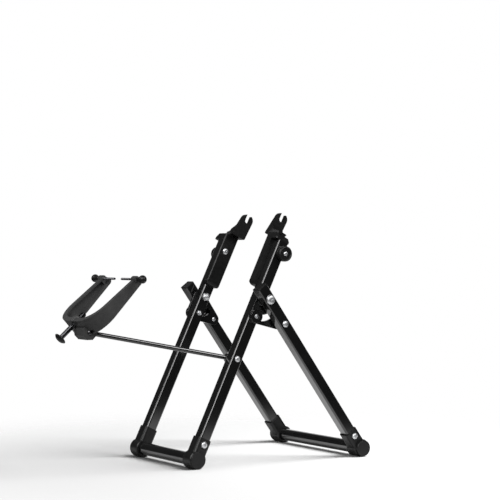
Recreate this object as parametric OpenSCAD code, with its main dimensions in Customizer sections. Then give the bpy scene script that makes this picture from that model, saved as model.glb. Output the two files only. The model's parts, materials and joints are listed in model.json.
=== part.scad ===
// Folding bicycle wheel truing stand.
// X runs fore and aft with the gauge at -X, Y runs along the wheel's axle, Z is up. The origin is on the floor
// under the middle of the stand. Left is +Y and right is -Y, seen from the gauge.
// Pieces are drawn on the right side and mirrored, so a distance "y" is counted outwards from the middle plane.

/* [Stance] */
// Distance between the axes of the front and the rear feet
foot_spread = 319; // [305:1:330]
// Front leg from its foot axis up to the main hinge
front_hinge_up = 291; // [282:1:296]
// Rear leg from its foot axis up to the main hinge
rear_hinge_up = 324.6; // [322:0.2:336]
// Distance between the axes of the two front legs
track = 177; // [170:1:190]
// Space between the side faces of a front leg and its rear leg
leg_gap = 8; // [7.8:0.1:10]
// Front leg above the main hinge
front_leg_top = 108; // [104:1:112]
// Rear leg above the main hinge
rear_leg_top = 25; // [18:1:32]
// Angle left between the legs when folded
fold_rest_angle = 2; // [1:0.5:6]

/* [Tubes] */
// Width of the square leg tube
leg_w = 20; // [18:0.5:22]
// Wall of the leg tube
leg_wall = 1.5; // [1:0.1:2]
// Outer corner radius of the leg tube
leg_corner_r = 3; // [2.5:0.1:4]
// Diameter of the cross tubes
cross_d = 22; // [19:0.5:24]
// Wall of the cross tubes
cross_wall = 1.5; // [1:0.1:2.5]

/* [Feet] */
// Diameter of the foot barrel
foot_d = 31; // [29:0.5:34]
// Depth of the flat that stands on the floor
foot_flat = 0.5; // [0.3:0.1:1]
// Bevel on the ends of the foot barrel
foot_bevel = 1.2; // [0.5:0.1:2]
// Wall of the leg socket
socket_wall = 2.5; // [2:0.1:2.7]
// Top of the leg socket above the foot axis
socket_up = 37; // [34:1:42]
// Floor between the cross tube and the end of the leg
socket_floor = 2.5; // [1.5:0.1:4]
// Foot screw above the foot axis
foot_screw_up = 27; // [24:0.5:30]
// Thickness of the front end caps
front_cap_t = 2.2; // [1.5:0.1:2.3]
// Thickness of the rear end caps
rear_cap_t = 6; // [3:0.5:8]
// Diameter of the end caps
cap_d = 28; // [25:0.5:29]
// Largest rounding on the rim of the end caps
cap_rim = 2; // [1:0.1:3]
// Length of the end caps' and plugs' spigots
spigot_len = 10; // [6:1:14]

/* [Stay plates] */
// Thickness of the slotted plate
stay_t = 4; // [3:0.1:4.2]
// Lock disc below the main hinge, along the front leg
lock_down = 31.5; // [29:0.5:34]
// Rivet below the main hinge, along the rear leg
stay_rivet_down = 51.5; // [51:0.5:60]
// Plate radius round the main hinge
stay_hinge_r = 12; // [11:0.5:14]
// Plate radius round the lock disc
stay_lock_r = 12; // [10:0.5:13]
// Plate radius round the rivet
stay_rivet_r = 10; // [9:0.5:12]
// Diameter of the raised boss round the rivet
stay_boss_d = 14; // [12:0.5:15]
// Diameter of the raised boss round the main hinge
stay_hub_d = 22; // [18:0.5:24]
// Diameter of the lock disc
lock_disc_d = 23; // [20:0.5:24]
// Diameter of the lock disc's sleeve, which runs in the slot
lock_sleeve_d = 10; // [9.6:0.2:11]

/* [Hub holders] */
// Front of the holder block, ahead of the leg axis
block_front = 17; // [14:0.5:20]
// Rear of the holder block, behind the leg axis
block_rear = 11; // [10:0.5:13]
// Thickness of the block on the leg's inner side
block_t = 13; // [11:0.5:15]
// Bottom of the block above the main hinge
block_low = 21; // [18:1:40]
// Bevel at the bottom of the block
block_bevel = 4; // [2:0.5:6]
// Rounding of the block's lower front corner
block_low_r = 7; // [4:0.5:8]
// How far the block's front lip reaches over the leg
block_lip = 4; // [3:0.5:6]
// Height of the block's cap on the leg's end
cap_h = 11; // [10:0.5:14]
// Upright part of the cap's outer side
cap_step = 2; // [1.5:0.5:4]
// How far the cap's outer side leans in
cap_lean = 9; // [5:0.5:10]
// Width of the slide rail's stem
rail_stem_w = 6; // [4:0.5:7]
// Height of the slide rail's stem
rail_stem_h = 2.5; // [2:0.1:3]
// Width of the slide rail's head
rail_head_w = 10; // [9:0.5:12]
// Height of the slide rail's head
rail_head_h = 2; // [1.5:0.1:2.5]
// Length of the slide rail
rail_len = 19; // [16:0.5:20]
// Rail ahead of the leg axis
rail_front = 0; // [-1:0.5:2]
// Distance between the inner faces of the axle forks, which is the narrowest hub width
hub_width = 100; // [96:1:106]
// Travel of each fork, half of the change in hub width
fork_travel = 17.5; // [10:0.5:18]
// Thickness of the fork
fork_t = 7.5; // [6:0.5:9]
// Width of the fork's root on the block
fork_root_w = 27; // [24:0.5:28]
// Thickness of the fork's slide foot
fork_foot_t = 8; // [7:0.5:10]
// Reach of the fork's slide foot, outwards from the fork
fork_foot_out = 25; // [22:0.5:28]
// Width of the slide foot's outer end
fork_foot_w = 16; // [15:0.5:20]
// Height of the brace between the fork and its foot
fork_brace = 12; // [8:0.5:14]
// Diameter of the axle slot
axle_slot_d = 10; // [9:0.1:12]
// Material round the axle slot
fork_wall = 6.5; // [5:0.5:8]
// Axle above the main hinge, along the front leg
axle_up = 154; // [150:1:160]
// Axle behind the leg axis
axle_back = 4.5; // [0:0.5:6]
// Hub bolt above the main hinge
hub_bolt_up = 88; // [70:1:94]
// Hub bolt behind, and hub screw ahead of, the leg axis
hub_bolt_off = 5.5; // [4:0.1:5.6]
// Diameter of the round knob
hub_knob_d = 26.5; // [24:0.5:28]
// Thickness of the round knob
hub_knob_t = 12; // [9:0.5:13]
// Depth of the round knob's dished face
hub_knob_dish = 2.2; // [1:0.1:3]
// Width of the rim round the dished face
hub_knob_rim = 3.2; // [2.5:0.1:4]
// Depth of the hub bolt's bore in the block
block_bore = 10; // [8:0.5:10]

/* [Gauge arm] */
// Arm hinge below the main hinge, along the front leg
gauge_down = 110; // [95:1:125]
// Length of the arm between its hinges
arm_len = 245.5; // [230:0.5:260]
// Rise of the arm towards the caliper, in degrees
arm_rise = 11.3; // [0:0.1:20]
// Diameter of the arm's rod
arm_d = 8; // [7:0.5:9]
// Diameter of the eye on the leg
leg_eye_d = 18; // [16:0.5:20]
// Diameter of the eye on the caliper
caliper_eye_d = 13; // [12:0.5:14]
// Thickness of the eye on the leg
leg_eye_t = 9; // [8:0.5:10]
// Thickness of the eye in the caliper's clevis
caliper_eye_t = 16; // [15:0.5:17]

/* [Caliper] */
// Rise of the caliper's axis, in degrees
caliper_rise = 42; // [35:1:50]
// Outer half width of the horseshoe
caliper_half_w = 61; // [56:0.5:66]
// Outer corner radius of the horseshoe
caliper_corner_r = 42; // [30:1:46]
// Back of the horseshoe, behind the caliper's reference point
caliper_back = 22; // [20:0.5:26]
// Feeler axis ahead of the caliper's reference point
feeler_ahead = 88; // [80:1:95]
// Feeler axis above the caliper's middle plane
feeler_above = 5.5; // [4:0.5:6]
// Half height of the arms at their root
arm_half_root = 13.5; // [12.5:0.5:14.5]
// Extra depth of the arms below, at their root
arm_drop_root = 4; // [3:0.5:5]
// Half height of the arms at their tips
arm_half_tip = 7; // [6.5:0.5:8]
// Depth of the arms' channel section
channel_depth = 9; // [7:0.5:11]
// Depth of the channel's lower flange
lower_depth = 17; // [14:0.5:20]
// Wall of the channel section
channel_wall = 3.2; // [2.5:0.1:4]
// Feeler boss diameter
feeler_boss_d = 11; // [9:0.5:11.5]
// How far the feeler boss stands out of the arm
feeler_boss_out = 1.5; // [1:0.5:3]
// Arm hinge ahead of the caliper's reference point
lug_ahead = -20.4; // [-22:0.2:-18]
// Arm hinge below the caliper's middle plane
lug_below = 12.6; // [12:0.2:14]
// Radius of the clevis round the arm hinge
lug_r = 13; // [12:0.5:14]
// Middle of the clevis, from the caliper's middle plane
lug_y = 15; // [14:0.5:20]
// Thickness of each cheek of the clevis
lug_cheek = 7.5; // [6:0.5:8]
// Reach of the clevis's web on the far side
lug_web = 22; // [16:0.5:24]
// Lowest swing of the arm in the clevis, below the caliper's axis, in degrees
arm_swing_low = 80; // [75:1:85]
// Highest swing of the arm in the clevis, below the caliper's axis, in degrees
arm_swing_high = 26; // [20:1:30]

/* [Feelers and adjuster] */
// Diameter of the feeler pin
feeler_d = 4; // [3:0.1:5]
// Gap between the feeler tips
feeler_gap = 20; // [12:1:40]
// Length of the feeler knob
feeler_knob_len = 22; // [20:0.5:26]
// Diameter of the knob's ball end
feeler_ball_d = 13.7; // [11:0.1:16]
// Diameter of the knob's neck
feeler_neck_d = 8; // [7:0.1:10]
// Space between the feeler boss and the knob
feeler_knob_gap = 4; // [4:0.5:6]
// Pin length held in the knob
feeler_seat = 6; // [4:0.5:10]
// Diameter of the adjuster screw
adjuster_d = 9.5; // [8:0.5:10]
// Adjuster axis above the caliper's middle plane
adjuster_above = 5.5; // [5:0.5:6]
// Length of the adjuster screw behind the caliper
adjuster_out = 32; // [30:1:40]
// Length of the adjuster screw ahead of the caliper's back
adjuster_in = 26; // [22:1:40]
// Diameter of the adjuster's head
adjuster_head_d = 21; // [18:0.5:23]
// Thickness of the head's rim
adjuster_rim_t = 2.5; // [2:0.1:4]
// Height of the head's dome
adjuster_dome_h = 3.2; // [2:0.1:4]
// Diameter of the threaded insert
insert_d = 13.5; // [12.5:0.5:14]
// Length of the threaded insert
insert_len = 9; // [6:0.5:10]
// Wall of the boss round the insert
insert_wall = 2.5; // [2:0.1:3]

/* [Fasteners] */
// Diameter of the main hinge bolts
hinge_bolt_d = 8; // [6:0.5:9]
// Head diameter of the main hinge bolts
hinge_head_d = 16.6; // [14:0.2:18]
// Diameter of the lock bolts
lock_bolt_d = 5; // [4:0.5:6]
// Head diameter of the lock bolts
lock_head_d = 8.6; // [8:0.1:9]
// Diameter of the stay rivets
stay_rivet_d = 8; // [6:0.5:8.5]
// Head diameter of the stay rivets
stay_rivet_head_d = 11.5; // [10:0.5:13]
// Diameter of the gauge arm's bolt
gauge_bolt_d = 6; // [5:0.5:7]
// Head diameter of the gauge arm's bolt
gauge_head_d = 10.5; // [9:0.5:12]
// Diameter of the caliper's bolt
caliper_bolt_d = 5; // [4:0.5:6]
// Head diameter of the caliper's bolt
caliper_head_d = 9; // [8:0.5:11]
// Diameter of the hub bolts and screws
hub_bolt_d = 5; // [4:0.5:5.5]
// Head diameter of the hub bolts
hub_head_d = 8.4; // [7:0.1:10]
// Head diameter of the hub screws
hub_screw_head_d = 11.6; // [9:0.1:13]
// Diameter of the foot screws
foot_screw_d = 4.2; // [3:0.1:5]
// Head diameter of the foot screws
foot_screw_head_d = 11.5; // [9:0.5:13]

/* [Clearances] */
// Between faces that move past each other
run_gap = 0.3; // [0.2:0.05:0.4]
// On the diameter of a pin that turns or slides
run_fit = 0.2; // [0.1:0.02:0.3]
// On the diameter or width of pieces that stay together
fit = 0.1; // [0.06:0.02:0.2]

/* [Hidden] */
$fn = 48;
// Big enough to cut right through any piece
beyond = 400;
// A bolt head is this share of its diameter high, and its hexagon socket this share wide
head_h_ratio = 0.3;
head_socket_ratio = 0.42;
// A nut is this many bolt diameters across its flats and high
nut_af_ratio = 1.65;
nut_h_ratio = 0.8;
// Bolt end past the nut
bolt_end = 1.5;
// Blind bore past the end of its bolt
bore_spare = 1;
// How far straight lines lie inside the curves of the stay plates and the caliper's side
line_tuck = 0.005;

front_lean = 90 - acos((pow(front_hinge_up, 2) + pow(foot_spread, 2) - pow(rear_hinge_up, 2))
    / (2 * front_hinge_up * foot_spread));
rear_lean = 90 - acos((pow(rear_hinge_up, 2) + pow(foot_spread, 2) - pow(front_hinge_up, 2))
    / (2 * rear_hinge_up * foot_spread));
fold_angle = front_lean + rear_lean - fold_rest_angle;

// Outward distances of the leg axes and faces
front_y = track / 2;
rear_y = front_y + leg_w + leg_gap;
front_inner_y = front_y - leg_w / 2;
front_outer_y = front_y + leg_w / 2;
rear_inner_y = rear_y - leg_w / 2;
rear_outer_y = rear_y + leg_w / 2;
socket_w = leg_w + 2 * socket_wall;
leg_seat = cross_d / 2 + socket_floor;
lock_disc_t = leg_gap - stay_t - 3 * run_gap;

// Caliper hinge and reference point, in X and Z from the main hinge
caliper_along = [cos(caliper_rise), sin(caliper_rise)];
caliper_normal = [-sin(caliper_rise), cos(caliper_rise)];
gauge_hinge = -gauge_down * [sin(front_lean), cos(front_lean)];
caliper_hinge = gauge_hinge + arm_len * [-cos(arm_rise), sin(arm_rise)];
caliper_ref = caliper_hinge - lug_ahead * caliper_along + lug_below * caliper_normal;

// The main hinge is placed so that the whole stand is centred on X
adjuster_rim_at = caliper_ref - (caliper_back + adjuster_out + adjuster_rim_t) * caliper_along
    + (adjuster_above + adjuster_head_d / 2) * caliper_normal;
rear_reach = rear_hinge_up * sin(rear_lean) + foot_d / 2;
foot_z = foot_d / 2 - foot_flat;
hinge_x = -(adjuster_rim_at[0] + rear_reach) / 2;
hinge_z = foot_z + front_hinge_up * cos(front_lean);

// Heights along the front leg
block_top = front_leg_top + cap_h;
fork_low = block_top + run_gap;
fork_r = axle_slot_d / 2 + fork_wall;

// Inward distances from the front leg's axis
block_inner = leg_w / 2 + block_t;
cap_outer = cap_lean - leg_w / 2;
fork_inner = front_y - hub_width / 2;
rail_inner = cap_outer + rail_len;

feeler_boss_y = caliper_half_w + feeler_boss_out;
feeler_knob_y = feeler_boss_y + feeler_knob_gap;
feeler_pin_y = feeler_knob_y + feeler_seat;
arm_tip = feeler_ahead + arm_half_tip;
insert_boss_r = insert_d / 2 + insert_wall;
leg_eye_y = front_inner_y - run_gap - leg_eye_t;
caliper_eye_y = lug_y - caliper_eye_t / 2;
cheek_y = caliper_eye_y - run_gap;
lug_inner = cheek_y - lug_cheek;
lug_outer = 2 * lug_y - lug_inner;

FRAME_BLACK = "#17181a";
PLASTIC = "#2a2b2d";
ZINC = "#c9cbcd";

// Point at a distance and an angle
function polar(r, angle) = r * [cos(angle), sin(angle)];

// Unit normal of the line that touches two circles on the right of the way from p to q
function tangent_normal(p, q, rp, rq) =
    let (d = q - p, gap = norm(d), along = (rp - rq) / gap)
    d / gap * along + [d[1], -d[0]] / gap * sqrt(1 - along * along);

// Outline that wraps round circles, each a point and a radius, listed anticlockwise. Its straight lines lie inside
// the circles by a tuck, which keeps their joins clean where they would only touch
module wrapped(rounds, tuck = 0) {
    count = len(rounds);
    for (a = rounds) translate(a[0]) circle(r = a[1]);
    polygon([for (i = [0:count - 1])
        let (a = rounds[i], b = rounds[(i + 1) % count], m = tangent_normal(a[0], b[0], a[1], b[1]))
        each [a[0] + m * (a[1] - tuck), b[0] + m * (b[1] - tuck)]]);
}

module rounded_box(low, high, r) {
    wrapped([[low + [r, r], r], [[high[0] - r, low[1] + r], r], [high - [r, r], r], [[low[0] + r, high[1] - r], r]]);
}

module rounded_square(w, r) {
    rounded_box([-w / 2, -w / 2], [w / 2, w / 2], r);
}

module left_side() {
    mirror([0, 1, 0]) children();
}

module both_sides() {
    children();
    left_side() children();
}

// Frames at the main hinge: Z up along the leg, X to its rear
module front_frame() {
    translate([hinge_x, 0, hinge_z]) rotate([0, front_lean, 0]) children();
}

module rear_frame() {
    translate([hinge_x, 0, hinge_z]) rotate([0, -rear_lean, 0]) children();
}

// Frame of the caliper: X along its axis, Z normal to its middle plane
module caliper_frame() {
    translate([hinge_x + caliper_ref[0], 0, hinge_z + caliper_ref[1]]) rotate([0, -caliper_rise, 0]) children();
}

// Turns +Z outwards to the right side, at a distance y from the middle plane
module facing_out(y, x = 0, z = 0) {
    translate([x, -y, z]) rotate([90, 0, 0]) children();
}

// Bore along Y between two distances from the middle plane
module cross_bore(d, z, y_from, y_to, x = 0) {
    facing_out(y_from, x, z) cylinder(d = d, h = y_to - y_from);
}

module dome(d, h) {
    r = (d * d / 4 + h * h) / (2 * h);
    rotate_extrude() intersection() {
        translate([0, h - r]) circle(r = r, $fn = 96);
        square([d / 2, h]);
    }
}

// Round headed bolt: the head stands on z = 0, the shank goes down from it
module button_bolt(d, len, head_d) {
    head_h = head_d * head_h_ratio;
    color(ZINC) difference() {
        union() {
            dome(head_d, head_h);
            translate([0, 0, -len]) cylinder(d = d, h = len);
        }
        translate([0, 0, head_h / 2]) cylinder(d = head_d * head_socket_ratio, h = head_h, $fn = 6);
    }
}

// Hexagon nut that stands on z = 0
module hex_nut(d) {
    color(ZINC) difference() {
        cylinder(d = d * nut_af_ratio / cos(30), h = d * nut_h_ratio, $fn = 6);
        translate([0, 0, -beyond / 2]) cylinder(d = d + fit, h = beyond);
    }
}

module leg_section() {
    difference() {
        rounded_square(leg_w, leg_corner_r);
        rounded_square(leg_w - 2 * leg_wall, leg_corner_r - leg_wall);
    }
}

module leg_tube(y, low, high) {
    translate([0, -y, low]) linear_extrude(high - low) leg_section();
}

module front_leg(gauge_side) {
    color(FRAME_BLACK) front_frame() difference() {
        leg_tube(front_y, leg_seat - front_hinge_up, front_leg_top);
        cross_bore(hinge_bolt_d + fit, 0, 0, beyond);
        cross_bore(lock_bolt_d + fit, -lock_down, 0, beyond);
        cross_bore(hub_bolt_d + fit, hub_bolt_up, 0, beyond, hub_bolt_off);
        cross_bore(hub_bolt_d + fit, hub_bolt_up, 0, front_y, -hub_bolt_off);
        cross_bore(foot_screw_d + fit, foot_screw_up - front_hinge_up, front_y, beyond);
        if (gauge_side) cross_bore(gauge_bolt_d + fit, -gauge_down, 0, beyond);
    }
}

module rear_leg() {
    color(FRAME_BLACK) rear_frame() difference() {
        leg_tube(rear_y, leg_seat - rear_hinge_up, rear_leg_top);
        cross_bore(hinge_bolt_d + run_fit, 0, 0, beyond);
        cross_bore(stay_rivet_d + fit, -stay_rivet_down, 0, beyond);
        cross_bore(foot_screw_d + fit, foot_screw_up - rear_hinge_up, rear_y, beyond);
    }
}

module rear_leg_plugs() {
    plug_t = 2.4;
    plug_bevel = 1;
    low = -leg_w / 2;
    side = [[low, 0], [-low, 0], [-low, plug_t - plug_bevel], [-low - plug_bevel, plug_t],
        [low + plug_bevel, plug_t], [low, plug_t - plug_bevel]];
    color(PLASTIC) both_sides() rear_frame() translate([0, -rear_y, rear_leg_top]) {
        intersection() {
            linear_extrude(plug_t) rounded_square(leg_w, leg_corner_r);
            rotate([90, 0, 0]) linear_extrude(leg_w, center = true) polygon(side);
            rotate([90, 0, 90]) linear_extrude(leg_w, center = true) polygon(side);
        }
        translate([0, 0, -spigot_len]) linear_extrude(spigot_len)
            rounded_square(leg_w - 2 * leg_wall - fit, leg_corner_r - leg_wall);
    }
}

module foot_barrel() {
    r = foot_d / 2;
    half = socket_w / 2;
    rotate([90, 0, 0]) rotate_extrude() polygon([[0, -half], [r - foot_bevel, -half], [r, foot_bevel - half],
        [r, half - foot_bevel], [r - foot_bevel, half], [0, half]]);
}

// Moulded foot in its leg's frame: barrel on the cross tube, and the leg's socket
module foot_solid(hinge_up, y) {
    translate([0, -y, -hinge_up]) difference() {
        union() {
            foot_barrel();
            linear_extrude(socket_up) rounded_square(socket_w, leg_corner_r + socket_wall);
        }
        rotate([90, 0, 0]) cylinder(d = cross_d + fit, h = beyond, center = true);
        translate([0, 0, leg_seat]) linear_extrude(beyond) rounded_square(leg_w + fit, leg_corner_r);
        facing_out(0, 0, foot_screw_up) cylinder(d = foot_screw_d + fit, h = beyond);
    }
}

module floor_cut() {
    difference() {
        children();
        translate([-beyond, -beyond, -beyond]) cube([2 * beyond, 2 * beyond, beyond]);
    }
}

module front_foot() {
    color(PLASTIC) floor_cut() front_frame() foot_solid(front_hinge_up, front_y);
}

module rear_foot() {
    color(PLASTIC) floor_cut() rear_frame() foot_solid(rear_hinge_up, rear_y);
}

module cross_tube(y) {
    rotate([90, 0, 0]) linear_extrude(2 * y + socket_w, center = true) difference() {
        circle(d = cross_d);
        circle(d = cross_d - 2 * cross_wall);
    }
}

module front_cross_tube() {
    color(FRAME_BLACK) front_frame() translate([0, 0, -front_hinge_up]) cross_tube(front_y);
}

module rear_cross_tube() {
    color(FRAME_BLACK) rear_frame() translate([0, 0, -rear_hinge_up]) cross_tube(rear_y);
}

// End cap: disc with a rounded rim and a spigot in the cross tube
module foot_cap(t) {
    rim = min(t / 2, cap_rim);
    color(PLASTIC) {
        rotate_extrude() {
            square([cap_d / 2 - rim, t]);
            square([cap_d / 2, t - rim]);
            translate([cap_d / 2 - rim, t - rim]) intersection() {
                circle(r = rim);
                square(rim);
            }
        }
        translate([0, 0, -spigot_len]) cylinder(d = cross_d - 2 * cross_wall - fit, h = spigot_len);
    }
}

module front_foot_caps() {
    both_sides() front_frame() facing_out(front_y + socket_w / 2, 0, -front_hinge_up) foot_cap(front_cap_t);
}

module rear_foot_caps() {
    both_sides() rear_frame() facing_out(rear_y + socket_w / 2, 0, -rear_hinge_up) foot_cap(rear_cap_t);
}

module foot_screw(y, hinge_up) {
    screw_len = socket_wall + leg_w / 2;
    facing_out(y + socket_w / 2, 0, foot_screw_up - hinge_up)
        button_bolt(foot_screw_d, screw_len, foot_screw_head_d);
}

module front_foot_screws() {
    both_sides() front_frame() foot_screw(front_y, front_hinge_up);
}

module rear_foot_screws() {
    both_sides() rear_frame() foot_screw(rear_y, rear_hinge_up);
}

module hinge_bolts() {
    head_y = rear_outer_y + run_gap;
    end_y = front_inner_y - hinge_bolt_d * nut_h_ratio - bolt_end;
    both_sides() front_frame() facing_out(head_y) button_bolt(hinge_bolt_d, head_y - end_y, hinge_head_d);
}

module hinge_nuts() {
    both_sides() front_frame() facing_out(front_inner_y - hinge_bolt_d * nut_h_ratio) hex_nut(hinge_bolt_d);
}

// Slotted plate on the rear leg, in the gap between the legs
module stay() {
    front_down = -90 - front_lean;
    rear_down = -90 + rear_lean;
    slot_w = lock_sleeve_d + 2 * run_gap;
    rivet_at = polar(stay_rivet_down, rear_down);
    lock_at = polar(lock_down, front_down);
    color(FRAME_BLACK) facing_out(front_outer_y + run_gap, hinge_x, hinge_z) difference() {
        union() {
            linear_extrude(stay_t)
                wrapped([[rivet_at, stay_rivet_r], [[0, 0], stay_hinge_r], [lock_at, stay_lock_r]], line_tuck);
            cylinder(d = stay_hub_d, h = leg_gap - run_gap);
            translate(rivet_at) cylinder(d = stay_boss_d, h = leg_gap - run_gap);
        }
        translate([0, 0, -beyond / 2]) {
            cylinder(d = hinge_bolt_d + run_fit, h = beyond);
            translate(rivet_at) cylinder(d = stay_rivet_d + fit, h = beyond);
            rotate([0, 0, front_down]) rotate_extrude(angle = fold_angle)
                translate([lock_down - slot_w / 2, 0]) square([slot_w, beyond]);
            for (angle = [front_down, front_down + fold_angle])
                translate(polar(lock_down, angle)) cylinder(d = slot_w, h = beyond);
        }
    }
}

module stay_rivets() {
    rivet_len = rear_outer_y - front_outer_y - 2 * run_gap;
    both_sides() rear_frame() facing_out(rear_outer_y, 0, -stay_rivet_down)
        button_bolt(stay_rivet_d, rivet_len, stay_rivet_head_d);
}

// Disc with a sleeve that runs in the stay plate's slot
module lock_discs() {
    sleeve_len = stay_t + 2 * run_gap;
    recess_h = lock_head_d * head_h_ratio;
    color(FRAME_BLACK) both_sides() front_frame() facing_out(front_outer_y, 0, -lock_down) difference() {
        union() {
            cylinder(d = lock_sleeve_d, h = sleeve_len);
            translate([0, 0, sleeve_len]) cylinder(d = lock_disc_d, h = lock_disc_t);
        }
        translate([0, 0, -beyond / 2]) cylinder(d = lock_bolt_d + fit, h = beyond);
        translate([0, 0, sleeve_len + lock_disc_t - recess_h]) cylinder(d = lock_head_d + 2 * run_gap, h = beyond);
    }
}

module lock_bolts() {
    head_y = front_outer_y + leg_gap - run_gap - lock_head_d * head_h_ratio;
    end_y = front_inner_y - lock_bolt_d * nut_h_ratio - bolt_end;
    both_sides() front_frame() facing_out(head_y, 0, -lock_down)
        button_bolt(lock_bolt_d, head_y - end_y, lock_head_d);
}

module lock_nuts() {
    both_sides() front_frame() facing_out(front_inner_y - lock_bolt_d * nut_h_ratio, 0, -lock_down)
        hex_nut(lock_bolt_d);
}

// Frame of a hub holder: X to the rear, Y inwards from the leg's axis, Z up along the leg
module hub_frame() {
    front_frame() translate([0, -front_y, 0]) children();
}

// Extrudes an outline drawn in Y and Z between two places on X
module from_side(x_from, x_to) {
    translate([x_from, 0, 0]) rotate([90, 0, 90]) linear_extrude(x_to - x_from) children();
}

// T shaped rail section, widened and raised by a gap
module rail_section(gap) {
    translate([-rail_front - rail_stem_w / 2 - gap, block_top])
        square([rail_stem_w + 2 * gap, rail_stem_h + gap]);
    translate([-rail_front - rail_head_w / 2 - gap, block_top + rail_stem_h - gap])
        square([rail_head_w + 2 * gap, rail_head_h + 2 * gap]);
}

// Runs a section, drawn in X and Z, inwards between two distances from the leg's axis
module running_in(y_from, y_to) {
    translate([0, y_to, 0]) rotate([90, 0, 0]) linear_extrude(y_to - y_from) children();
}

// Side outline of the block, with a rounded lower front corner
module block_outline(edge_r) {
    top = 2 * block_top;
    running_in(-beyond, beyond) wrapped([[[-block_front + block_low_r, block_low + block_low_r], block_low_r],
        [[block_rear - edge_r, block_low + edge_r], edge_r], [[block_rear - edge_r, top], edge_r],
        [[-block_front + edge_r, top], edge_r]]);
}

module hub_block() {
    edge_r = 2.5;
    color(PLASTIC) hub_frame() difference() {
        union() {
            intersection() {
                from_side(-block_front, block_rear) polygon([[leg_w / 2, block_low],
                    [block_inner - block_bevel, block_low], [block_inner, block_low + 2 * block_bevel],
                    [block_inner, block_top], [cap_outer, block_top],
                    [-leg_w / 2, front_leg_top + cap_step], [-leg_w / 2, front_leg_top], [leg_w / 2, front_leg_top]]);
                linear_extrude(beyond)
                    rounded_box([-block_front, -leg_w / 2], [block_rear, block_inner], edge_r);
                block_outline(edge_r);
            }
            intersection() {
                translate([-block_front, leg_w / 2 - block_lip, block_low])
                    cube([block_front - leg_w / 2 - fit, block_lip + edge_r, front_leg_top - block_low]);
                block_outline(edge_r);
            }
            running_in(cap_outer, rail_inner) rail_section(0);
        }
        translate([hub_bolt_off, 0, hub_bolt_up]) rotate([-90, 0, 0])
            cylinder(d = hub_bolt_d + fit, h = leg_w / 2 + block_bore);
        translate([-hub_bolt_off, 0, hub_bolt_up]) rotate([-90, 0, 0]) cylinder(d = hub_bolt_d + fit, h = beyond);
    }
}

module hub_knobs() {
    bevel = 1.5;
    r = hub_knob_d / 2;
    color(PLASTIC) both_sides() front_frame() facing_out(front_outer_y, hub_bolt_off, hub_bolt_up) difference() {
        rotate_extrude() polygon([[0, 0], [r, 0], [r, hub_knob_t - bevel], [r - bevel, hub_knob_t], [0, hub_knob_t]]);
        translate([0, 0, hub_knob_t - hub_knob_dish]) cylinder(r = r - hub_knob_rim, h = beyond);
        translate([0, 0, -beyond / 2]) cylinder(d = hub_bolt_d + fit, h = beyond);
    }
}

module hub_bolts() {
    head_y = front_outer_y + hub_knob_t - hub_knob_dish;
    end_y = front_inner_y - block_bore + bore_spare;
    both_sides() front_frame() facing_out(head_y, hub_bolt_off, hub_bolt_up)
        button_bolt(hub_bolt_d, head_y - end_y, hub_head_d);
}

module hub_screws() {
    screw_len = block_t + leg_w / 2;
    both_sides() hub_frame() translate([-hub_bolt_off, block_inner, hub_bolt_up]) rotate([-90, 0, 0])
        button_bolt(hub_bolt_d, screw_len, hub_screw_head_d);
}

// Axle fork that slides along the axle on the block's rail
module hub_fork() {
    root_r = 2;
    fork_top = axle_up + fork_r;
    foot_fall = 1;
    ear_outer = fork_inner - fork_t;
    foot_outer = ear_outer - fork_foot_out;
    foot_top = fork_low + fork_foot_t;
    root_front = -rail_front - fork_root_w / 2;
    color(PLASTIC) hub_frame() difference() {
        intersection() {
            from_side(-beyond, beyond) polygon([[foot_outer, fork_low], [fork_inner, fork_low],
                [fork_inner, fork_top], [ear_outer, fork_top], [ear_outer, foot_top + fork_brace],
                [ear_outer - fork_brace, foot_top], [foot_outer, foot_top - foot_fall]]);
            linear_extrude(beyond) polygon([[-beyond, fork_inner + 1], [beyond, fork_inner + 1], [beyond, ear_outer],
                [fork_root_w / 2 - rail_front, ear_outer], [fork_foot_w / 2 - rail_front, foot_outer],
                [-fork_foot_w / 2 - rail_front, foot_outer], [-fork_root_w / 2 - rail_front, ear_outer],
                [-beyond, ear_outer]]);
            running_in(-beyond, beyond) wrapped([[[root_front + root_r, fork_low + root_r], root_r],
                [[root_front + fork_root_w - root_r, fork_low + root_r], root_r], [[axle_back, axle_up], fork_r]]);
        }
        running_in(-beyond, rail_inner + fork_travel + run_gap) rail_section(run_gap);
        translate([axle_back, 0, axle_up]) {
            rotate([90, 0, 0]) cylinder(d = axle_slot_d, h = beyond, center = true);
            translate([-axle_slot_d / 2, -beyond / 2, 0]) cube([axle_slot_d, beyond, beyond]);
        }
    }
}

module gauge_bolt() {
    end_y = leg_eye_y - run_gap - gauge_bolt_d * nut_h_ratio - bolt_end;
    front_frame() facing_out(front_outer_y, 0, -gauge_down)
        button_bolt(gauge_bolt_d, front_outer_y - end_y, gauge_head_d);
}

module gauge_nut() {
    front_frame() facing_out(leg_eye_y - run_gap - gauge_bolt_d * nut_h_ratio, 0, -gauge_down) hex_nut(gauge_bolt_d);
}

module rod_between(p, q, d) {
    v = q - p;
    translate(p) rotate([0, acos(v[2] / norm(v)), atan2(v[1], v[0])]) cylinder(d = d, h = norm(v));
}

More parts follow.
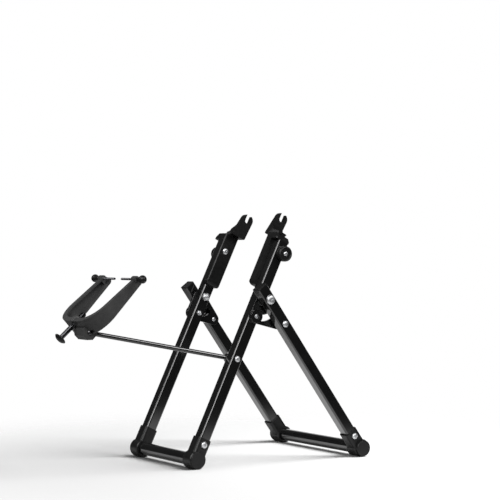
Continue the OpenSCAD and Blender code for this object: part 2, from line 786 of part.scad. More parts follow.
// Rod with an eye for the leg's bolt and an eye for the caliper's bolt
module gauge_rod() {
    leg_end = [hinge_x + gauge_hinge[0], -leg_eye_y - leg_eye_t / 2, hinge_z + gauge_hinge[1]];
    caliper_end = [hinge_x + caliper_hinge[0], -lug_y, hinge_z + caliper_hinge[1]];
    color(FRAME_BLACK) difference() {
        union() {
            rod_between(leg_end, caliper_end, arm_d);
            facing_out(leg_eye_y, leg_end[0], leg_end[2]) cylinder(d = leg_eye_d, h = leg_eye_t);
            facing_out(caliper_eye_y, caliper_end[0], caliper_end[2]) cylinder(d = caliper_eye_d, h = caliper_eye_t);
        }
        facing_out(0, leg_end[0], leg_end[2]) cylinder(d = gauge_bolt_d + run_fit, h = beyond);
        facing_out(0, caliper_end[0], caliper_end[2]) cylinder(d = caliper_bolt_d + run_fit, h = beyond);
        facing_out(0, leg_end[0], leg_end[2]) cylinder(d = gauge_bolt_d * nut_af_ratio / cos(30) + 2 * run_gap, h = leg_eye_y);
    }
}

// Horseshoe outline, drawn in by an inset, with its tips at a given place
module horseshoe(inset, tip) {
    back = inset - caliper_back;
    half = caliper_half_w - inset;
    corner = caliper_corner_r - inset;
    tip_r = 0.5;
    wrapped([[[back + corner, corner - half], corner], [[tip - tip_r, tip_r - half], tip_r],
        [[tip - tip_r, half - tip_r], tip_r], [[back + corner, half - corner], corner]]);
}

// Side outline of the caliper, tapered to its tips and drawn in by an inset
module caliper_side(inset) {
    root_r = 2;
    root = arm_half_root - inset - root_r;
    rotate([90, 0, 0]) linear_extrude(beyond, center = true)
        wrapped([[[-caliper_back - root_r, -root - arm_drop_root], root_r], [[feeler_ahead, 0], arm_half_tip - inset],
            [[-caliper_back - root_r, root], root_r]], line_tuck);
}

module horseshoe_band(depth) {
    linear_extrude(beyond, center = true) difference() {
        horseshoe(0, arm_tip);
        horseshoe(depth, beyond);
    }
}

// Band of the caliper: a channel section that opens inwards, with a deeper lower flange
module caliper_band() {
    difference() {
        intersection() {
            horseshoe_band(channel_depth);
            caliper_side(0);
        }
        intersection() {
            linear_extrude(beyond, center = true) horseshoe(channel_wall, feeler_ahead - feeler_boss_d / 2);
            caliper_side(channel_wall);
        }
    }
    difference() {
        intersection() {
            horseshoe_band(lower_depth);
            caliper_side(0);
            translate([-beyond / 2, -beyond / 2, -beyond]) cube(beyond);
        }
        caliper_side(channel_wall);
    }
}

// Eight-sided clevis under the caliper's back, with one side level, and its web on the far side
module caliper_lug() {
    sides = 8;
    slice = 1;
    inset = 0.4;
    web_r = lug_r / 3;
    rotate([90, 0, 0]) translate([lug_ahead, -lug_below]) {
        translate([0, 0, lug_inner]) linear_extrude(lug_outer - lug_inner)
            rotate(180 / sides - caliper_rise) circle(r = lug_r, $fn = sides);
        hull() {
            translate([0, 0, lug_inner]) linear_extrude(slice)
                rotate(180 / sides - caliper_rise) circle(r = lug_r - inset, $fn = sides);
            translate([web_r, web_r, lug_inner - lug_web]) linear_extrude(slice) circle(r = web_r);
        }
    }
}

// Room in the clevis for the arm's eye and the swing of its rod
module arm_room() {
    eye_r = caliper_eye_d / 2 + 2 * run_gap;
    rod_r = arm_d / 2 + run_gap;
    reach = 3 * lug_r;
    rotate([90, 0, 0]) translate([0, 0, cheek_y]) linear_extrude(caliper_eye_t + 2 * run_gap)
        translate([lug_ahead, -lug_below]) {
            circle(r = eye_r);
            polygon([polar(rod_r, 90 - arm_swing_high), polar(rod_r, 90 - arm_swing_high) + polar(reach, -arm_swing_high),
                polar(rod_r, -90 - arm_swing_low) + polar(reach, -arm_swing_low), polar(rod_r, -90 - arm_swing_low)]);
        }
}

module caliper() {
    feeler_at = [feeler_ahead, 0, feeler_above];
    boss_in = caliper_half_w - channel_depth;
    boss_len = insert_len + channel_wall;
    color(PLASTIC) caliper_frame() difference() {
        union() {
            caliper_band();
            caliper_lug();
            both_sides() facing_out(boss_in, feeler_ahead, feeler_above)
                cylinder(d = feeler_boss_d, h = feeler_boss_y - boss_in);
            translate([-caliper_back, 0, adjuster_above]) rotate([0, 90, 0]) cylinder(r = insert_boss_r, h = boss_len);
        }
        translate(feeler_at) rotate([90, 0, 0]) cylinder(d = feeler_d + run_fit, h = beyond, center = true);
        translate([0, 0, adjuster_above]) rotate([0, 90, 0]) {
            cylinder(d = adjuster_d + run_fit, h = beyond, center = true);
            translate([0, 0, channel_wall - caliper_back]) cylinder(d = insert_d + fit, h = beyond);
        }
        arm_room();
        facing_out(lug_inner - bore_spare, lug_ahead, -lug_below) cylinder(d = caliper_bolt_d + fit, h = beyond);
        facing_out(lug_outer, lug_ahead, -lug_below) cylinder(d = caliper_head_d + run_fit, h = beyond);
    }
}

// Bolt of the clevis, with its head on the near cheek
module caliper_bolt() {
    caliper_frame() facing_out(lug_outer, lug_ahead, -lug_below)
        button_bolt(caliper_bolt_d, lug_outer - lug_inner, caliper_head_d);
}

module feeler() {
    tip_y = feeler_gap / 2;
    tip_len = 2;
    color(ZINC) caliper_frame() facing_out(tip_y, feeler_ahead, feeler_above) {
        cylinder(d1 = feeler_d / 2, d2 = feeler_d, h = tip_len);
        translate([0, 0, tip_len]) cylinder(d = feeler_d, h = feeler_pin_y - tip_y - tip_len);
    }
}

module feeler_knob() {
    ball_r = feeler_ball_d / 2;
    ball_at = feeler_knob_len - ball_r;
    taper_r = ball_r * 0.8;
    color(PLASTIC) caliper_frame() facing_out(feeler_knob_y, feeler_ahead, feeler_above) difference() {
        rotate_extrude() {
            polygon([[0, 0], [feeler_neck_d / 2, 0], [taper_r, ball_at], [0, ball_at]]);
            translate([0, ball_at]) intersection() {
                circle(r = ball_r, $fn = 64);
                translate([0, -ball_r]) square([ball_r, 2 * ball_r]);
            }
        }
        translate([0, 0, -feeler_seat]) cylinder(d = feeler_d + fit, h = 2 * feeler_seat);
    }
}

// Frame of the adjuster: Z along its axis towards the caliper's mouth, from the caliper's back
module adjuster_frame() {
    caliper_frame() translate([-caliper_back, 0, adjuster_above]) rotate([0, 90, 0]) children();
}

module adjuster_screw() {
    color(ZINC) adjuster_frame() translate([0, 0, -adjuster_out])
        cylinder(d = adjuster_d, h = adjuster_out + adjuster_in);
}

module adjuster_head() {
    color(PLASTIC) adjuster_frame() translate([0, 0, -adjuster_out]) rotate([180, 0, 0]) {
        cylinder(d = adjuster_head_d, h = adjuster_rim_t);
        translate([0, 0, adjuster_rim_t]) dome(adjuster_head_d, adjuster_dome_h);
    }
}

module adjuster_insert() {
    color(ZINC) adjuster_frame() translate([0, 0, channel_wall]) difference() {
        cylinder(d = insert_d, h = insert_len);
        translate([0, 0, -insert_len]) cylinder(d = adjuster_d + run_fit, h = 3 * insert_len);
    }
}

left_side() front_leg(false);  // front_leg_left
front_leg(true);  // front_leg_right
front_cross_tube();
left_side() front_foot();  // front_foot_left
front_foot();  // front_foot_right
front_foot_caps();
front_foot_screws();
hinge_bolts();
hinge_nuts();
lock_discs();
lock_bolts();
lock_nuts();
left_side() hub_block();  // hub_block_left
hub_block();  // hub_block_right
hub_knobs();
hub_bolts();
hub_screws();
gauge_bolt();
gauge_nut();
left_side() rear_leg();  // rear_leg_left
rear_leg();  // rear_leg_right
rear_cross_tube();
left_side() rear_foot();  // rear_foot_left
rear_foot();  // rear_foot_right
rear_foot_caps();
rear_foot_screws();
rear_leg_plugs();
left_side() stay();  // stay_left
stay();  // stay_right
stay_rivets();
left_side() hub_fork();  // hub_fork_left
hub_fork();  // hub_fork_right
gauge_rod();
caliper();
caliper_bolt();
left_side() feeler();  // feeler_left
feeler();  // feeler_right
left_side() feeler_knob();  // feeler_knob_left
feeler_knob();  // feeler_knob_right
adjuster_screw();
adjuster_head();
adjuster_insert();
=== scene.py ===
"""Looks of a folding truing stand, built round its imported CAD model."""
import json
import math

import bmesh
import bpy
from mathutils import Matrix, Vector


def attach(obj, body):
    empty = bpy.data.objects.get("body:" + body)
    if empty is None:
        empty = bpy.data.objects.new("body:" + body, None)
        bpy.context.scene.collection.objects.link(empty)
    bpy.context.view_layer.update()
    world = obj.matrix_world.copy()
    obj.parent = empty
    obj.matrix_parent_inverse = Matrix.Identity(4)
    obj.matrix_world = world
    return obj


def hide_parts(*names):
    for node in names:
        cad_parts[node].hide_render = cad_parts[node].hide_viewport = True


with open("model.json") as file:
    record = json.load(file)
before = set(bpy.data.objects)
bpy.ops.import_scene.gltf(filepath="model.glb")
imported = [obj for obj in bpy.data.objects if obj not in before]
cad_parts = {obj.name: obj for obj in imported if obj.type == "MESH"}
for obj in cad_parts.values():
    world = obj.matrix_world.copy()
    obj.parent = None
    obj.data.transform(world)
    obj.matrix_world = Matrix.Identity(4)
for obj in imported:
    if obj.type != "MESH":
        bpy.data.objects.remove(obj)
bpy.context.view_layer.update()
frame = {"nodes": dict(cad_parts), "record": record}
NODES = frame["nodes"]
RECORD = frame["record"]
SLOTS = {row["node"]: row["material_slot"] for row in RECORD["subparts"]}
BODY_OF = {node: body for body, nodes in RECORD["behaviour"]["bodies"].items() for node in nodes}
MM = 0.001


# Materials

class Nodes:
    """A material's node tree, with short ways to add and link nodes."""

    def __init__(self, name):
        self.material = bpy.data.materials.new(name)
        self.material.use_nodes = True
        self.tree = self.material.node_tree
        self.shader = self.tree.nodes["Principled BSDF"]
        self.coords = self.tree.nodes.new("ShaderNodeTexCoord").outputs["Object"]

    def add(self, kind, **settings):
        node = self.tree.nodes.new("ShaderNode" + kind)
        for key, value in settings.items():
            setattr(node, key, value)
        return node

    def link(self, source, target):
        self.tree.links.new(source, target)

    def noise(self, scale, detail=3.0, rough=0.55):
        node = self.add("TexNoise")
        node.inputs["Scale"].default_value = scale
        node.inputs["Detail"].default_value = detail
        node.inputs["Roughness"].default_value = rough
        self.link(self.coords, node.inputs["Vector"])
        return node.outputs["Fac"]

    def span(self, source, low, high, at_low, at_high, blend="LINEAR"):
        """A source between low and high, carried over to the range from at_low to at_high."""
        node = self.add("MapRange", interpolation_type=blend)
        for key, value in (("From Min", low), ("From Max", high), ("To Min", at_low), ("To Max", at_high)):
            node.inputs[key].default_value = value
        self.link(source, node.inputs["Value"])
        return node.outputs["Result"]

    def ramp(self, source, low, high):
        """A colour that goes from low to high, each a place on the source's range and a colour."""
        node = self.add("ValToRGB")
        for element, (at, colour) in zip(node.color_ramp.elements, (low, high)):
            element.position = at
            element.color = (*colour, 1.0)
        self.link(source, node.inputs["Fac"])
        return node.outputs["Color"]

    def bump(self, height, strength, distance, under=None):
        node = self.add("Bump")
        node.inputs["Strength"].default_value = strength
        node.inputs["Distance"].default_value = distance
        self.link(height, node.inputs["Height"])
        if under:
            self.link(under, node.inputs["Normal"])
        return node.outputs["Normal"]

    def set(self, name, value):
        self.shader.inputs[name].default_value = value

    def feed(self, name, source):
        self.link(source, self.shader.inputs[name])

    def colour(self, clouds, low, high):
        self.feed("Base Color", self.ramp(clouds, low, high))

    def roughness(self, clouds, low, high):
        """Roughness from low to high over the range where most of a noise lies."""
        self.feed("Roughness", self.span(clouds, 0.3, 0.75, low, high))


def gloss_paint():
    """Black stove enamel under a clear coat, with a faint orange peel and cloudy gloss."""
    n = Nodes("frame_black")
    n.colour(n.noise(38, 4), (0.35, (0.0036, 0.0036, 0.0038)), (0.8, (0.0062, 0.0062, 0.0062)))
    n.roughness(n.noise(24, 3, 0.5), 0.13, 0.18)
    n.set("Specular IOR Level", 0.5)
    n.set("Coat Weight", 1.0)
    n.set("Coat Roughness", 0.08)
    n.set("Coat IOR", 1.5)
    n.feed("Normal", n.bump(n.noise(160, 1.0), 0.012, 0.0006))
    return n.material


def moulding(name, low, high, rough, gloss, grain):
    """Moulded plastic with a fine spark-eroded grain and faint flow marks."""
    n = Nodes(name)
    n.colour(n.noise(90, 6, 0.65), (0.3, low), (0.85, high))
    n.roughness(n.noise(220, 4, 0.6), rough - 0.06, rough + 0.08)
    n.set("Specular IOR Level", gloss)
    fine = n.bump(n.noise(2300, 4, 0.7), grain, 0.00022)
    n.feed("Normal", n.bump(n.noise(35, 1), 0.05, 0.0015, fine))
    return n.material


def zinc_plate():
    """Bright zinc on steel: cool, satin and slightly cloudy, with tool marks."""
    n = Nodes("zinc")
    n.set("Metallic", 1.0)
    n.colour(n.noise(700, 5, 0.6), (0.3, (0.56, 0.57, 0.585)), (0.75, (0.78, 0.785, 0.79)))
    n.roughness(n.noise(1500, 4, 0.65), 0.38, 0.52)
    n.feed("Normal", n.bump(n.noise(2800, 3), 0.08, 0.0002))
    return n.material


def dark_steel():
    """Blackened steel with its high spots rubbed brighter."""
    n = Nodes("dark_steel")
    n.set("Metallic", 1.0)
    n.colour(n.noise(900, 5, 0.7), (0.35, (0.045, 0.045, 0.048)), (0.85, (0.12, 0.12, 0.124)))
    n.roughness(n.noise(1300, 4), 0.14, 0.26)
    n.feed("Normal", n.bump(n.noise(2400, 3), 0.1, 0.0002))
    return n.material


BLACK_LOW, BLACK_HIGH = (0.0042, 0.0042, 0.0043), (0.0088, 0.0087, 0.0086)
GREY_LOW, GREY_HIGH = (0.033, 0.033, 0.0334), (0.055, 0.0546, 0.054)
MATERIALS = {
    "frame_black": gloss_paint(),
    "zinc": zinc_plate(),
    "dark_steel": dark_steel(),
    "moulded_black": moulding("moulded_black", BLACK_LOW, BLACK_HIGH, rough=0.38, gloss=0.34, grain=0.16),
    "moulded_grey": moulding("moulded_grey", GREY_LOW, GREY_HIGH, rough=0.46, gloss=0.36, grain=0.14),
}


def finish_with(obj, slot):
    obj.data.materials.clear()
    obj.data.materials.append(MATERIALS[slot])


WELD_GAP = 0.05     # millimetres, under which points are joined so that edges meet cleanly
HARD_EDGE = 40      # degrees between two faces, over which their edge is rounded


def soften(obj, width):
    """Rounds the hard edges of a carried-over CAD piece, with its faces still shaded as flat or round."""
    weld = obj.modifiers.new("weld", "WELD")
    weld.merge_threshold = WELD_GAP * MM
    bevel = obj.modifiers.new("edges", "BEVEL")
    bevel.width = width
    bevel.segments = 2
    bevel.limit_method = "ANGLE"
    bevel.angle_limit = math.radians(HARD_EDGE)
    normals = obj.modifiers.new("normals", "WEIGHTED_NORMAL")
    normals.mode = "FACE_AREA"
    normals.weight = 100


# Edge widths in millimetres. The tubes keep their own corners and normals, for an even line of light
EDGES = {"caliper": 0.9, "gauge_rod": 0.6}
for side_name in ("_left", "_right"):
    EDGES.update({"hub_fork" + side_name: 1.0, "hub_block" + side_name: 0.8, "front_foot" + side_name: 0.8,
                  "rear_foot" + side_name: 0.8, "stay" + side_name: 0.6})
OTHER_EDGES = 0.4
PLAIN_TUBES = ("front_leg_left", "front_leg_right", "front_cross_tube", "rear_leg_left", "rear_leg_right",
               "rear_cross_tube")
for node_name, node_obj in NODES.items():
    finish_with(node_obj, SLOTS[node_name])
    if node_name not in PLAIN_TUBES:
        soften(node_obj, EDGES.get(node_name, OTHER_EDGES) * MM)


# Turned and threaded pieces, in millimetres along their own axis

def box_of(points):
    """Lowest and highest corners of some points."""
    return (Vector([min(p[i] for p in points) for i in range(3)]),
            Vector([max(p[i] for p in points) for i in range(3)]))


def node_points(node):
    return [vertex.co / MM for vertex in NODES[node].data.vertices]


def side_boxes(node):
    """Boxes of a node's left (1) and right (-1) halves, where it has them."""
    points = node_points(node)
    halves = {side: [p for p in points if p.y * side > 0] for side in (1, -1)}
    return {side: box_of(own) for side, own in halves.items() if own}


def hexagon(half):
    """Radius of a hexagon of a given half width across its flats, by angle."""
    return lambda angle: half / math.cos((angle % (math.pi / 3)) - math.pi / 6)


def clipped_hexagon(half, most):
    """Radius of a hexagon whose corners are turned down to a given radius, by angle."""
    full = hexagon(half)
    return lambda angle: min(full(angle), most)


def fluted(radius, depth, count):
    """Radius of a rim with a number of grooves, by angle."""
    return lambda angle: radius - depth * (0.5 - 0.5 * math.cos(count * angle)) ** 3


def quarter(steps):
    """Cosine and sine of the steps of a quarter turn after its start."""
    angles = [math.pi / 2 * step / steps for step in range(1, steps + 1)]
    return [(math.cos(angle), math.sin(angle)) for angle in angles]


def stand_on(at, axis):
    """Matrix that puts Z along an axis from a point."""
    return Matrix.Translation(Vector(at) * MM) @ Vector(axis).to_track_quat("Z", "Y").to_matrix().to_4x4()


def loop_point(mesh, place, reach, angle, height):
    reach *= MM
    return mesh.verts.new(place @ Vector((reach * math.cos(angle), reach * math.sin(angle), height * MM)))


def bridge(mesh, low_loop, high_loop, segments):
    """Faces between two loops, either of which may be a single point."""
    for step in range(segments):
        after = (step + 1) % segments
        if len(low_loop) == 1:
            mesh.faces.new((low_loop[0], high_loop[after], high_loop[step]))
        elif len(high_loop) == 1:
            mesh.faces.new((low_loop[step], low_loop[after], high_loop[0]))
        else:
            mesh.faces.new((low_loop[step], low_loop[after], high_loop[after], high_loop[step]))


def turn(mesh, rings, at, axis, segments=48, closed=False):
    """Adds a solid of rings (radius or radius by angle, height) round an axis."""
    place = stand_on(at, axis)
    loops = []
    for radius, height in rings:
        if radius == 0:
            loops.append([mesh.verts.new(place @ Vector((0, 0, height * MM)))])
            continue
        angles = [2 * math.pi * step / segments for step in range(segments)]
        loops.append([loop_point(mesh, place, radius(angle) if callable(radius) else radius, angle, height)
                      for angle in angles])
    pairs = list(zip(loops, loops[1:]))
    if closed:
        pairs.append((loops[-1], loops[0]))
    for low_loop, high_loop in pairs:
        bridge(mesh, low_loop, high_loop, segments)


THREAD_ROWS = 6     # loops in each turn of a thread
FLANK = 3.2         # steepness of a groove's flanks, in thread depths for each pitch
FLANKS_MEET = 1.6   # depth at which a groove's two flanks would meet, in thread depths
TIP_CORE = 0.9      # least radius of a thread, as a share of its tip's


def thread(mesh, at, axis, length, radius, pitch, depth, tip, segments):
    """Adds a screw thread with a cone of a given length and end radius at its far end."""
    place = stand_on(at, axis)
    tip_len, tip_r = tip
    least_r = tip_r * TIP_CORE
    count = round(length / pitch * THREAD_ROWS)
    loops = []
    for row in range(count + 1):
        height = length * row / count
        cone = tip_r + (radius - tip_r) * min(1.0, (length - height) / tip_len)
        loop = []
        for step in range(segments):
            phase = (height / pitch - step / segments) % 1.0
            cut = depth * min(1.0, max(0.0, FLANKS_MEET - FLANK * abs(phase - 0.5)))
            reach = max(least_r, min(cone, radius - cut))
            loop.append(loop_point(mesh, place, reach, 2 * math.pi * step / segments, height))
        loops.append(loop)
    for low_loop, high_loop in zip(loops, loops[1:]):
        bridge(mesh, low_loop, high_loop, segments)
    mesh.faces.new(list(reversed(loops[0])))
    mesh.faces.new(loops[-1])


def piece(node, mesh, slot=None, crease=32):
    """Makes an object of a mesh, to ride on a node's body and stand for the node."""
    bmesh.ops.recalc_face_normals(mesh, faces=mesh.faces)
    data = bpy.data.meshes.new(node + "_made")
    mesh.to_mesh(data)
    mesh.free()
    data.shade_smooth()
    data.set_sharp_from_angle(angle=math.radians(crease))
    obj = bpy.data.objects.new(node + "_made", data)
    bpy.context.scene.collection.objects.link(obj)
    finish_with(obj, slot or SLOTS[node])
    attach(obj, BODY_OF[node])
    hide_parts(node)


# Shares: a head's height of its width, its socket's half width of its radius, a dome of the shank's radius
HEAD_H_RATIO, SOCKET_RATIO, END_DOME = 0.3, 0.3, 0.3
END_STEPS, HEAD_STEPS, COLLAR_STEPS = (0, 0.25, 0.5, 0.75, 1), 7, 5
NUT_MOUTH = 0.5
HEAD_RIM, HEAD_UNDERCUT = 0.25, 0.2


def dome_rings(head_r, flat_r, height):
    """Rings of a button head from its under side to its flat."""
    rings = [(head_r - HEAD_UNDERCUT, 0.0), (head_r, HEAD_RIM)]
    for cosine, sine in quarter(HEAD_STEPS):
        rings.append((flat_r + (head_r - flat_r) * cosine, HEAD_RIM + (height - HEAD_RIM) * sine))
    return rings


def button_heads(node, shank_r, outward=1, socket=True):
    """Domed fasteners along Y, one on each side the node has, with a hexagon socket or a rivet's dome."""
    mesh = bmesh.new()
    for side, (low_at, high_at) in side_boxes(node).items():
        middle = (low_at + high_at) / 2
        head_r = (high_at.x - low_at.x) / 2
        height = 2 * head_r * HEAD_H_RATIO
        length = high_at.y - low_at.y - height
        out = side * outward
        top_y = high_at.y if out > 0 else low_at.y
        rings = [(shank_r * part, shank_r * END_DOME * part ** 2 - length) for part in END_STEPS]
        rings.append((shank_r, 0.0))
        if socket:
            flat = head_r * SOCKET_RATIO
            rings += dome_rings(head_r, flat * 1.3, height)
            rings += [(hexagon(flat * 1.06), height), (hexagon(flat), height - 0.25),
                      (hexagon(flat), height * 0.4), (0, height * 0.3)]
        else:
            rings += dome_rings(head_r, head_r * 0.1, height) + [(0, height)]
        turn(mesh, rings, (middle.x, top_y - out * height, middle.z), (0, out, 0))
    piece(node, mesh)


def lock_nuts(node, bore_r):
    """Nuts along Y on the legs' inner sides: a chamfered hexagon, then a collar with a domed shoulder."""
    mesh = bmesh.new()
    for side, (low_at, high_at) in side_boxes(node).items():
        middle = (low_at + high_at) / 2
        half = max(high_at.x - low_at.x, high_at.z - low_at.z) / 2 * math.cos(math.pi / 6)
        full, height = hexagon(half), high_at.y - low_at.y
        chamfer, hex_top = 0.12 * half, 0.55 * height
        mouth_r, collar_r = bore_r + NUT_MOUTH, half * 0.94
        rings = [(bore_r, NUT_MOUTH), (mouth_r, 0.0), (clipped_hexagon(half, half * 1.03), 0.0),
                 (full, chamfer), (full, hex_top - chamfer), (half * 0.98, hex_top)]
        for cosine, sine in quarter(COLLAR_STEPS):
            rings.append((mouth_r + (collar_r - mouth_r) * cosine, hex_top + (height - hex_top) * sine))
        rings.append((bore_r, height - NUT_MOUTH))
        base_y = high_at.y if side > 0 else low_at.y
        turn(mesh, rings, (middle.x, base_y, middle.z), (0, -side, 0), closed=True)
    piece(node, mesh)


for bolt, bolt_r in (("hinge_bolts", 4.0), ("lock_bolts", 2.5), ("hub_bolts", 2.5), ("gauge_bolt", 3.0),
                     ("front_foot_screws", 2.1), ("rear_foot_screws", 2.1)):
    button_heads(bolt, bolt_r)
button_heads("hub_screws", 2.5, outward=-1)
button_heads("stay_rivets", 4.0, socket=False)
for nut, nut_bore in (("hinge_nuts", 4.05), ("lock_nuts", 2.55), ("gauge_nut", 3.05)):
    lock_nuts(nut, nut_bore)

# Round knobs on the hub blocks, with a grip round the rim and a dished face. The face's points are distances
# inwards from the rim and down from the top
KNOB_BORE_R, KNOB_GROOVE, KNOB_GROOVES = 2.55, 0.55, 28
KNOB_FACE = ((0.5, 1.3), (1.3, 0.4), (2.2, 0.0), (2.9, 0.2), (3.4, 0.9), (3.9, 2.2))
knob_mesh = bmesh.new()
for side, (low_at, high_at) in side_boxes("hub_knobs").items():
    middle, rim_r = (low_at + high_at) / 2, (high_at.x - low_at.x) / 2
    thick = high_at.y - low_at.y
    base_y = low_at.y if side > 0 else high_at.y
    grip = fluted(rim_r, KNOB_GROOVE, KNOB_GROOVES)
    knob_rings = [(KNOB_BORE_R, 0), (rim_r - 1.6, 0), (rim_r - 0.6, 0.5), (grip, 1.4), (grip, thick - 2.6)]
    knob_rings += [(rim_r - inwards, thick - down) for inwards, down in KNOB_FACE]
    knob_rings.append((KNOB_BORE_R, thick - KNOB_FACE[-1][1]))
    turn(knob_mesh, knob_rings, (middle.x, base_y, middle.z), (0, side, 0), segments=112, closed=True)
piece("hub_knobs", knob_mesh, crease=40)

# Feelers: threaded pins with cone points, and their knobs with a bored neck, a flare and a ball end
PIN_PITCH, PIN_GROOVE, PIN_TIP = 0.8, 0.32, (2.2, 0.9)
PIN_BORE_R, PIN_BORE_DEPTH = 2.05, 6.0
KNOB_NECK = [(3.4, 0.0), (3.85, 0.25), (4.0, 0.8), (4.12, 2.0)]
KNOB_FLARE = ((4.6, 7.0), (4.95, 5.4))      # radius, and distance before the ball's middle
BALL_FROM, BALL_STEPS = -44, 14
for name, side in (("left", 1), ("right", -1)):
    low_at, high_at = side_boxes("feeler_" + name)[side]
    middle, pin_r = (low_at + high_at) / 2, (high_at.x - low_at.x) / 2
    outer_y = high_at.y if side > 0 else low_at.y
    pin_mesh = bmesh.new()
    thread(pin_mesh, (middle.x, outer_y, middle.z), (0, -side, 0), high_at.y - low_at.y, pin_r,
           PIN_PITCH, PIN_GROOVE, PIN_TIP, segments=20)
    piece("feeler_" + name, pin_mesh)
    low_at, high_at = side_boxes("feeler_knob_" + name)[side]
    middle, ball_r = (low_at + high_at) / 2, (high_at.x - low_at.x) / 2
    neck_y = low_at.y if side > 0 else high_at.y
    ball_at = high_at.y - low_at.y - ball_r
    rings = [(0, PIN_BORE_DEPTH), (PIN_BORE_R, PIN_BORE_DEPTH), (PIN_BORE_R, 0.0)] + KNOB_NECK
    rings += [(radius, ball_at - before) for radius, before in KNOB_FLARE]
    for step in range(BALL_STEPS):
        angle = math.radians(BALL_FROM + (90 - BALL_FROM) * step / BALL_STEPS)
        rings.append((ball_r * math.cos(angle), ball_at + ball_r * math.sin(angle)))
    rings.append((0, ball_at + ball_r))
    knob_mesh = bmesh.new()
    turn(knob_mesh, rings, (middle.x, neck_y, middle.z), (0, side, 0))
    piece("feeler_knob_" + name, knob_mesh, crease=50)

# Adjuster: a screw with a plain shank and a thread, and a mushroom head, on the axis of its slide
SHANK_LEN, SHANK_STEP, SHANK_LAP = 27, 0.5, 0.8
SCREW_PITCH, SCREW_GROOVE, SCREW_TIP = 1.25, 0.5, (1.6, 3.2)
slide = next(row for row in RECORD["behaviour"]["joints"] if row["name"] == "adjuster_slide")
slide_axis = Vector(slide["axis"]).normalized()
screw_points = node_points("adjuster_screw")
screw_low, screw_high = box_of(screw_points)
screw_mid = (screw_low + screw_high) / 2
screw_r = (screw_high.y - screw_low.y) / 2
reaches = [(p - screw_mid).dot(slide_axis) for p in screw_points]
screw_from, screw_to = min(reaches), max(reaches)
shank_r = screw_r - SHANK_STEP
screw_mesh = bmesh.new()
rings = [(0, 0), (shank_r, 0), (shank_r, SHANK_LEN - 0.6), (shank_r - 0.4, SHANK_LEN), (0, SHANK_LEN)]
turn(screw_mesh, rings, screw_mid + slide_axis * screw_from, slide_axis)
thread(screw_mesh, screw_mid + slide_axis * (screw_from + SHANK_LEN - SHANK_LAP), slide_axis,
       screw_to - screw_from - SHANK_LEN + SHANK_LAP, screw_r,
       SCREW_PITCH, SCREW_GROOVE, SCREW_TIP, segments=32)
piece("adjuster_screw", screw_mesh, "dark_steel")

RIM_HEIGHT, RIM_GROOVE, RIM_GROOVES, DOME_INSET, DOME_STEPS = 2.6, 0.5, 22, 1.6, 8
head_points = node_points("adjuster_head")
head_r = max(p.y for p in head_points)
head_reaches = [(p - screw_mid).dot(slide_axis) for p in head_points]
head_len = max(head_reaches) - min(head_reaches)
rim = fluted(head_r, RIM_GROOVE, RIM_GROOVES)
rings = [(0, 0), (head_r - 2.4, 0), (head_r - 0.9, 0.2), (rim, 0.9), (rim, 1.9), (head_r - 0.9, RIM_HEIGHT)]
for cosine, sine in quarter(DOME_STEPS)[:-1]:
    rings.append(((head_r - DOME_INSET) * cosine, RIM_HEIGHT + (head_len - RIM_HEIGHT) * sine))
rings.append((0, head_len))
head_mesh = bmesh.new()
turn(head_mesh, rings, screw_mid + slide_axis * max(head_reaches), -slide_axis, segments=88)
piece("adjuster_head", head_mesh, crease=45)


# Stage: floor, world, lamps and camera

FLOOR_SEEN, FLOOR_UNSEEN = (0.86, 0.86, 0.86), (0.11, 0.11, 0.11)
FLOOR_RADIUS, FADE_START, FADE_END = 1.6, 0.1, 0.85


def floor_material():
    """Paper, white to the camera, gloss and glass, that fades out so that the backdrop has no edge."""
    n = Nodes("floor")
    rays = n.add("LightPath").outputs
    seen = rays["Is Camera Ray"]
    for kind in ("Is Glossy Ray", "Is Transmission Ray"):
        either = n.add("Math", operation="MAXIMUM")
        n.link(seen, either.inputs[0])
        n.link(rays[kind], either.inputs[1])
        seen = either.outputs["Value"]
    n.colour(seen, (0.0, FLOOR_UNSEEN), (1.0, FLOOR_SEEN))
    n.set("Roughness", 0.9)
    n.set("Specular IOR Level", 0.0)
    length = n.add("VectorMath", operation="LENGTH")
    n.link(n.coords, length.inputs[0])
    n.feed("Alpha", n.span(length.outputs["Value"], FADE_START, FADE_END, 1.0, 0.0, "SMOOTHERSTEP"))
    return n.material


bpy.ops.mesh.primitive_circle_add(vertices=96, radius=FLOOR_RADIUS, fill_type="NGON", location=(0.05, 0, 0))
floor = bpy.context.object
floor.name = "floor"
floor.data.materials.append(floor_material())

scene = bpy.context.scene
world = bpy.data.worlds.new("studio")
scene.world = world
world.use_nodes = True
w_nodes, w_links = world.node_tree.nodes, world.node_tree.links


def world_node(kind, *sources, **settings):
    """Adds a node to the world, with its first inputs linked to sources or set to numbers."""
    node = w_nodes.new("ShaderNode" + kind)
    for key, value in settings.items():
        setattr(node, key, value)
    for socket, source in zip(node.inputs, sources):
        if isinstance(source, bpy.types.NodeSocket):
            w_links.new(source, socket)
        else:
            socket.default_value = source
    return node.outputs


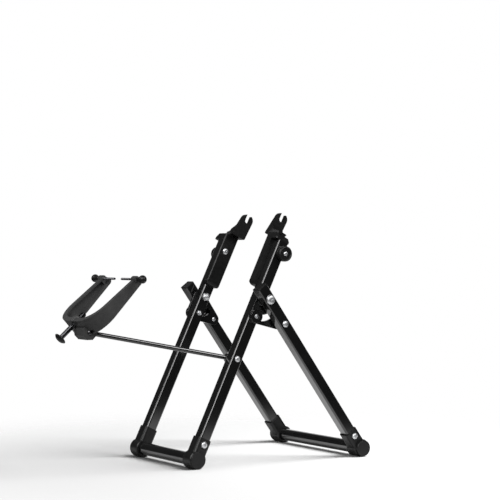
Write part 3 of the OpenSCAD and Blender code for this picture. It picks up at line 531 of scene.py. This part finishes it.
# The camera and glass see white, gloss sees a white backdrop in a dim room, and the rest is even light
AMBIENT, DIM_ROOM = 0.2, 0.04
BACKDROP_AT = Vector((0.564, 0.8255, 0.03)).normalized()
BACKDROP_EDGE, BACKDROP_FULL = 0.80, 0.985      # cosines of the angle from the backdrop's middle
path = w_nodes.new("ShaderNodeLightPath").outputs
ray = world_node("TexCoord")["Generated"]
facing = world_node("VectorMath", ray, BACKDROP_AT, operation="DOT_PRODUCT")["Value"]
backdrop = world_node("MapRange", facing, BACKDROP_EDGE, BACKDROP_FULL, DIM_ROOM, 1.0,
                      interpolation_type="SMOOTHSTEP")["Result"]
around = world_node("MapRange", path["Is Glossy Ray"], 0.0, 1.0, AMBIENT, backdrop)["Result"]
seen = world_node("Math", path["Is Camera Ray"], path["Is Transmission Ray"], operation="MAXIMUM")["Value"]
strength = world_node("Math", seen, around, operation="MAXIMUM")["Value"]
background = w_nodes["Background"]
background.inputs["Color"].default_value = (1, 1, 1, 1)
w_links.new(strength, background.inputs["Strength"])


def softbox(name, at, size, power, aim=(0.0, 0.0, 0.2), along=(0.0, 0.0, 1.0)):
    """Rectangular lamp of a width and a length, the length as near as can be to the direction along."""
    lamp = bpy.data.lights.new(name, "AREA")
    lamp.shape = "RECTANGLE"
    lamp.size, lamp.size_y = size
    lamp.energy = power
    obj = bpy.data.objects.new(name, lamp)
    scene.collection.objects.link(obj)
    back = (Vector(at) - Vector(aim)).normalized()
    up = Vector(along)
    up = (up - up.dot(back) * back).normalized()
    axes = Matrix((up.cross(back), up, back)).transposed()
    obj.matrix_world = Matrix.Translation(at) @ axes.to_4x4()
    return obj


LEG_LINE = (0.437, 0.0, 0.9)
window = softbox("window", (-1.68, 0.74, 1.74), (0.6, 1.7), 16, along=LEG_LINE)
key = softbox("key", (-1.75, -1.47, 1.86), (1.7, 1.8), 70, along=LEG_LINE)
side_lamp = softbox("side", (0.69, -1.66, 1.63), (1.0, 1.0), 24)
sky = softbox("sky", (1.2, -0.8, 1.75), (1.5, 1.5), 71, (0, 0, 0))

# The sky lamp lights the floor alone, for its soft shadows, and the others light the object alone
for name, lamps, state in (("floor_lit", (sky,), "INCLUDE"),
                           ("floor_unlit", (window, key, side_lamp), "EXCLUDE")):
    linked = bpy.data.collections.new(name)
    linked.objects.link(floor)
    linked.collection_objects[0].light_linking.link_state = state
    for lamp in lamps:
        lamp.light_linking.receiver_collection = linked

# The camera, with its focal length and the picture's centre in pixels of the square picture
axle_x = next(row["pos_m"][0] for row in RECORD["mounts"] if row["name"] == "axle_seat_left")
EYE = Vector((axle_x - 1.4374, -2.1039, 0.3472))
FORWARD = Vector((0.564, 0.8255, 0.026))
RIGHT, UP = Vector((0.8257, -0.5642, 0.0)), Vector((-0.0147, -0.0215, 0.9997))
FOCAL_PX, CENTRE_RIGHT, CENTRE_UP = 1436.4, -13.26, -29.77
PICTURE_PX, SENSOR_MM = 500, 36.0
look = FORWARD * FOCAL_PX + RIGHT * CENTRE_RIGHT + UP * CENTRE_UP
camera = bpy.data.objects.new("camera", bpy.data.cameras.new("camera"))
scene.collection.objects.link(camera)
camera.location = EYE
camera.rotation_mode = "QUATERNION"
camera.rotation_quaternion = look.to_track_quat("-Z", "Y")
camera.data.sensor_width = SENSOR_MM
camera.data.lens = SENSOR_MM * FOCAL_PX / PICTURE_PX
camera.data.clip_end = 50
scene.camera = camera
scene.view_settings.view_transform = "Standard"
